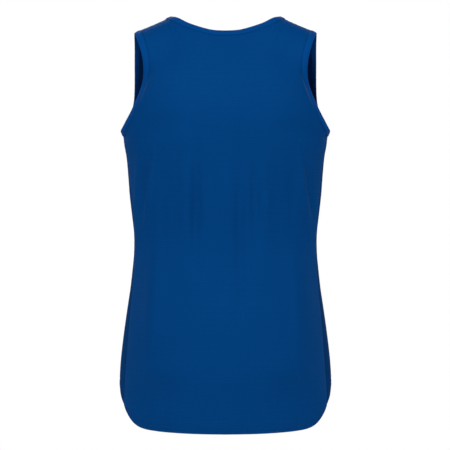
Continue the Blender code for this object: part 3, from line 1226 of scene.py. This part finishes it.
BACK_FOLDS = (
    Fold((0.119, -0.196), (0.142, -0.372), 0.0040, 0.0040, bow=0.001, skew=0.25),
    Fold((0.130, -0.222), (0.151, -0.360), -0.0032, 0.0044),
    Fold((0.146, -0.200), (0.157, -0.330), 0.0016, 0.0055, skew=0.2),
    Fold((0.100, -0.250), (0.112, -0.400), -0.0012, 0.0100),
    Fold((0.068, -0.176), (0.070, -0.440), 0.0022, 0.0110, bow=-0.001),
    Fold((0.051, -0.165), (0.052, -0.470), -0.0044, 0.0074, bow=0.001),
    Fold((0.008, -0.215), (0.004, -0.420), 0.0016, 0.0095, bow=0.0015),
    Fold((-0.024, -0.162), (-0.026, -0.590), -0.0044, 0.0080, bow=-0.001),
    Fold((-0.040, -0.225), (-0.038, -0.400), 0.0020, 0.0055, bow=-0.001, skew=0.2),
    Fold((-0.049, -0.218), (-0.050, -0.382), -0.0008, 0.0062),
    Fold((-0.066, -0.212), (-0.072, -0.402), 0.0020, 0.0100, bow=-0.002, skew=-0.2),
    Fold((-0.108, -0.232), (-0.121, -0.372), -0.0022, 0.0075),
    Fold((-0.124, -0.206), (-0.147, -0.368), 0.0040, 0.0039, bow=-0.001, skew=-0.25),
    Fold((-0.135, -0.224), (-0.156, -0.358), -0.0030, 0.0043),
    Fold((0.117, -0.335), (0.132, -0.640), 0.0044, 0.0140, bow=0.002),
    Fold((-0.114, -0.370), (-0.133, -0.640), 0.0042, 0.0140, bow=-0.002),
    Fold((0.060, -0.452), (0.066, -0.575), -0.0012, 0.0140),
    Fold((-0.070, -0.440), (-0.078, -0.580), -0.0013, 0.0150),
    Fold((0.164, -0.606), (0.050, -0.598), 0.0044, 0.0190, bow=0.003),
    Fold((0.160, -0.652), (0.056, -0.644), -0.0018, 0.0190, bow=0.003),
    Fold((-0.160, -0.603), (-0.040, -0.594), 0.0042, 0.0190, bow=-0.003),
    Fold((-0.158, -0.650), (-0.058, -0.644), -0.0018, 0.0190, bow=-0.003),
    Fold((0.176, -0.128), (0.030, -0.086), 0.0062, 0.0310, bow=0.004),
    Fold((0.172, -0.204), (0.050, -0.172), -0.0042, 0.0200, bow=0.006),
    Fold((-0.176, -0.132), (-0.052, -0.090), 0.0062, 0.0300, bow=-0.004),
    Fold((-0.172, -0.210), (-0.076, -0.180), -0.0042, 0.0190, bow=-0.005),
)
FRONT_FOLDS = (
    Fold((0.118, -0.222), (0.128, -0.365), 0.0014, 0.0070, bow=0.002, skew=0.3),
    Fold((-0.121, -0.214), (-0.130, -0.340), 0.0013, 0.0065, bow=-0.002, skew=-0.3),
    Fold((0.061, -0.255), (0.070, -0.430), 0.0012, 0.0095, bow=0.003),
    Fold((-0.056, -0.270), (-0.067, -0.452), 0.0013, 0.0090, bow=-0.002),
    Fold((0.012, -0.285), (0.006, -0.455), 0.0010, 0.0110),
    Fold((-0.094, -0.330), (-0.108, -0.530), 0.0013, 0.0120, bow=0.003),
    Fold((0.098, -0.345), (0.111, -0.560), 0.0014, 0.0125, bow=-0.003),
    Fold((0.036, -0.460), (0.044, -0.640), -0.0009, 0.0140),
    Fold((-0.030, -0.480), (-0.024, -0.650), 0.0009, 0.0150),
)


@dataclass
class Singlet:
    """The whole garment."""

    finishes: Finishes = field(default_factory=Finishes)
    cloth: Cloth = field(default_factory=Cloth)
    sewing: Sewing = field(default_factory=Sewing)
    back: Panel = field(
        default_factory=lambda: Panel(
            Side.BACK, "back_panel_cloth", "back_panel", BACK_FOLDS, (0.462, 0.770), 0.279, 0.7
        )
    )
    front: Panel = field(
        default_factory=lambda: Panel(
            Side.FRONT, FRONT_CLOTH, "front_panel", FRONT_FOLDS, (0.554, 0.716), 0.285, 3.1
        )
    )
    pieces: dict[str, bpy.types.Object] = field(default_factory=dict)

    def keep(self, piece: bpy.types.Object) -> None:
        """Notes a piece under its name."""
        self.pieces[piece.name] = piece

    def build(self) -> None:
        """Shapes the cloth, then makes every piece."""
        for panel in (self.back, self.front):
            panel.shape(self.cloth, self.sewing)
        self.cloth.join()
        neck, left, right = openings_of(self.cloth)
        bindings = (
            Binding("neck_binding_strip", "neck_binding", neck, 0.4),
            Binding("armhole_binding_strip_left", "armhole_binding_left", left, 1.9),
            Binding("armhole_binding_strip_right", "armhole_binding_right", right, 5.2),
        )
        for panel in (self.back, self.front):
            self.keep(panel.build(self.cloth, self.finishes.body))
        for binding in bindings:
            self.keep(binding.build(self.finishes.binding))
        self.stitch(bindings)
        self.line_seams()

    def stitch(self, bindings: tuple[Binding, ...]) -> None:
        """Sews the bindings and the hem.

        Args:
            bindings: the strips to topstitch.
        """
        for name, binding in zip(("neck", "armhole_left", "armhole_right"), bindings):
            stitches = Stitching(f"{name}_stitches", (binding.line(self.cloth),))
            self.keep(stitches.build(self.finishes.thread))
        for panel in (self.back, self.front):
            lines = tuple(self.hem_line(panel, height) for height in self.sewing.hem_lines)
            stitches = Stitching(f"hem_stitches_{panel.side.name.lower()}", lines)
            self.keep(stitches.build(self.finishes.thread))

    def hem_line(self, panel: Panel, height: float) -> Line:
        """Finds the line on a panel that lies at one height above its hem.

        Args:
            panel: the panel.
            height: how far up the cloth the line is.

        Returns:
            The line, from seam to seam.
        """
        grid = self.cloth.grids[panel.side]
        up = self.cloth.runs(panel.side)["up"]
        normals = outward_normals(grid, panel.side)
        row = (up < height).sum(axis=0) - 1
        column = np.arange(grid.shape[1])
        share = ((height - up[row, column]) / (up[row + 1, column] - up[row, column]))[:, None]
        points = grid[row, column] * (1 - share) + grid[row + 1, column] * share
        return Line(points, normals[row, column])

    def line_seams(self) -> None:
        """Lays the overlocked edges inside the side and shoulder seams."""
        side_width = int(round(Allowance.width / self.cloth.edge_step))
        sewn, neck = self.cloth.underarm, self.cloth.neck
        side_rows, shoulder_rows = slice(0, sewn - 2), slice(-5, -1)
        bands = (
            Allowance("side_seam_allowance_right", side_rows, slice(1, side_width)),
            Allowance("side_seam_allowance_left", side_rows, slice(-side_width, -1)),
            Allowance("shoulder_seam_allowance_right", shoulder_rows, slice(2, neck[0] - 1)),
            Allowance("shoulder_seam_allowance_left", shoulder_rows, slice(neck[1] + 2, -2)),
        )
        for band in bands:
            self.keep(band.build(self.cloth, self.finishes.allowance))


# ---- the stage


@dataclass(frozen=True)
class Softbox:
    """A square area light aimed at a point."""

    name: str
    place: tuple[float, float, float]
    size: float
    power: float
    aim: tuple[float, float, float] = (0, 0, -0.3)
    passes_by: tuple[str, ...] = ()

    def build(self) -> None:
        """Hangs the light."""
        data = bpy.data.lights.new(self.name, "AREA")
        data.size, data.energy = self.size, self.power
        light = link_object(self.name, data)
        light.location = self.place
        way = Vector(self.aim) - Vector(self.place)
        light.rotation_euler = way.to_track_quat("-Z", "Y").to_euler()
        light.visible_camera = False
        if self.passes_by:
            unlit = bpy.data.collections.new(f"{self.name}_passes_by")
            light.light_linking.receiver_collection = unlit
            for name in self.passes_by:
                unlit.objects.link(bpy.data.objects[name])
            for entry in unlit.collection_objects:
                entry.light_linking.link_state = "EXCLUDE"


@dataclass
class Stage:
    """A pale floor, an even white surround, soft lights and the camera."""

    floor_height: float = -1.2
    floor_radius: float = 3.4
    surround: float = 0.22
    camera_aside: float = 0.0008
    camera_height: float = -0.3499
    camera_distance: float = 4.0
    lens: float = 184.5
    lights: tuple[Softbox, ...] = (
        Softbox("key_light", (0.3, 2.0, 1.6), 0.8, 38.0, aim=(0, 0, -0.25)),
        Softbox("side_light_left", (2.4, 1.9, 1.0), 1.0, 35.0, passes_by=(FRONT_CLOTH,)),
        Softbox("side_light_right", (-2.4, 1.9, 1.0), 1.0, 41.0, passes_by=(FRONT_CLOTH,)),
        Softbox("front_light", (0.3, -3.0, 1.4), 1.6, 56.0),
        Softbox("front_light_left", (1.9, -2.5, 0.7), 1.0, 22.0),
        Softbox("front_light_right", (-1.9, -2.5, 0.7), 1.0, 22.0),
    )

    def build(self) -> None:
        """Sets up everything round the garment."""
        self.lay_floor()
        self.surround_with_white()
        for light in self.lights:
            light.build()
        self.place_camera()

    def lay_floor(self) -> None:
        """Lays a round pale floor below the hem."""
        mesh = bmesh.new()
        place = Matrix.Translation((0, 0, self.floor_height))
        bmesh.ops.create_circle(
            mesh, cap_ends=True, segments=96, radius=self.floor_radius, matrix=place
        )
        material, graph, shader = new_material("pale_floor")
        where = graph.add("ShaderNodeTexCoord").outputs["Object"]
        grain = graph.add("ShaderNodeTexNoise", {"Vector": where, "Scale": 3.0, "Detail": 4.0})
        colour = graph.mix(grain.outputs[0], (0.88, 0.88, 0.88, 1), (0.93, 0.93, 0.93, 1))
        graph.feed(shader, {"Base Color": colour})
        shader.inputs["Roughness"].default_value = 0.85
        floor = link_mesh(mesh, "studio_floor", material)

    def surround_with_white(self) -> None:
        """Makes the surround pure white to look at, and softer as a light."""
        world = bpy.data.worlds.new("white_surround")
        bpy.context.scene.world = world
        world.use_nodes = True
        graph = NodeGraph(world.node_tree)
        seen = graph.add("ShaderNodeLightPath").outputs["Is Camera Ray"]
        strength = graph.math("MULTIPLY_ADD", seen, 1.0 - self.surround, self.surround)
        backdrop = graph.tree.nodes["Background"]
        backdrop.inputs["Color"].default_value = (1, 1, 1, 1)
        graph.tree.links.new(strength, backdrop.inputs["Strength"])
        bpy.context.scene.view_settings.view_transform = "Standard"

    def place_camera(self) -> None:
        """Puts the camera level behind the wearer."""
        data = bpy.data.cameras.new("camera")
        data.lens, data.sensor_width = self.lens, 36.0
        camera = link_object("camera", data)
        camera.location = (self.camera_aside, self.camera_distance, self.camera_height)
        camera.rotation_euler = (math.pi / 2, 0, math.pi)
        bpy.context.scene.camera = camera


def main() -> None:
    """Builds the garment and its stage."""
    logging.basicConfig(level=logging.INFO, format="%(name)s: %(message)s")
    Singlet().build()
    Stage().build()


if __name__ == "__main__":
    main()
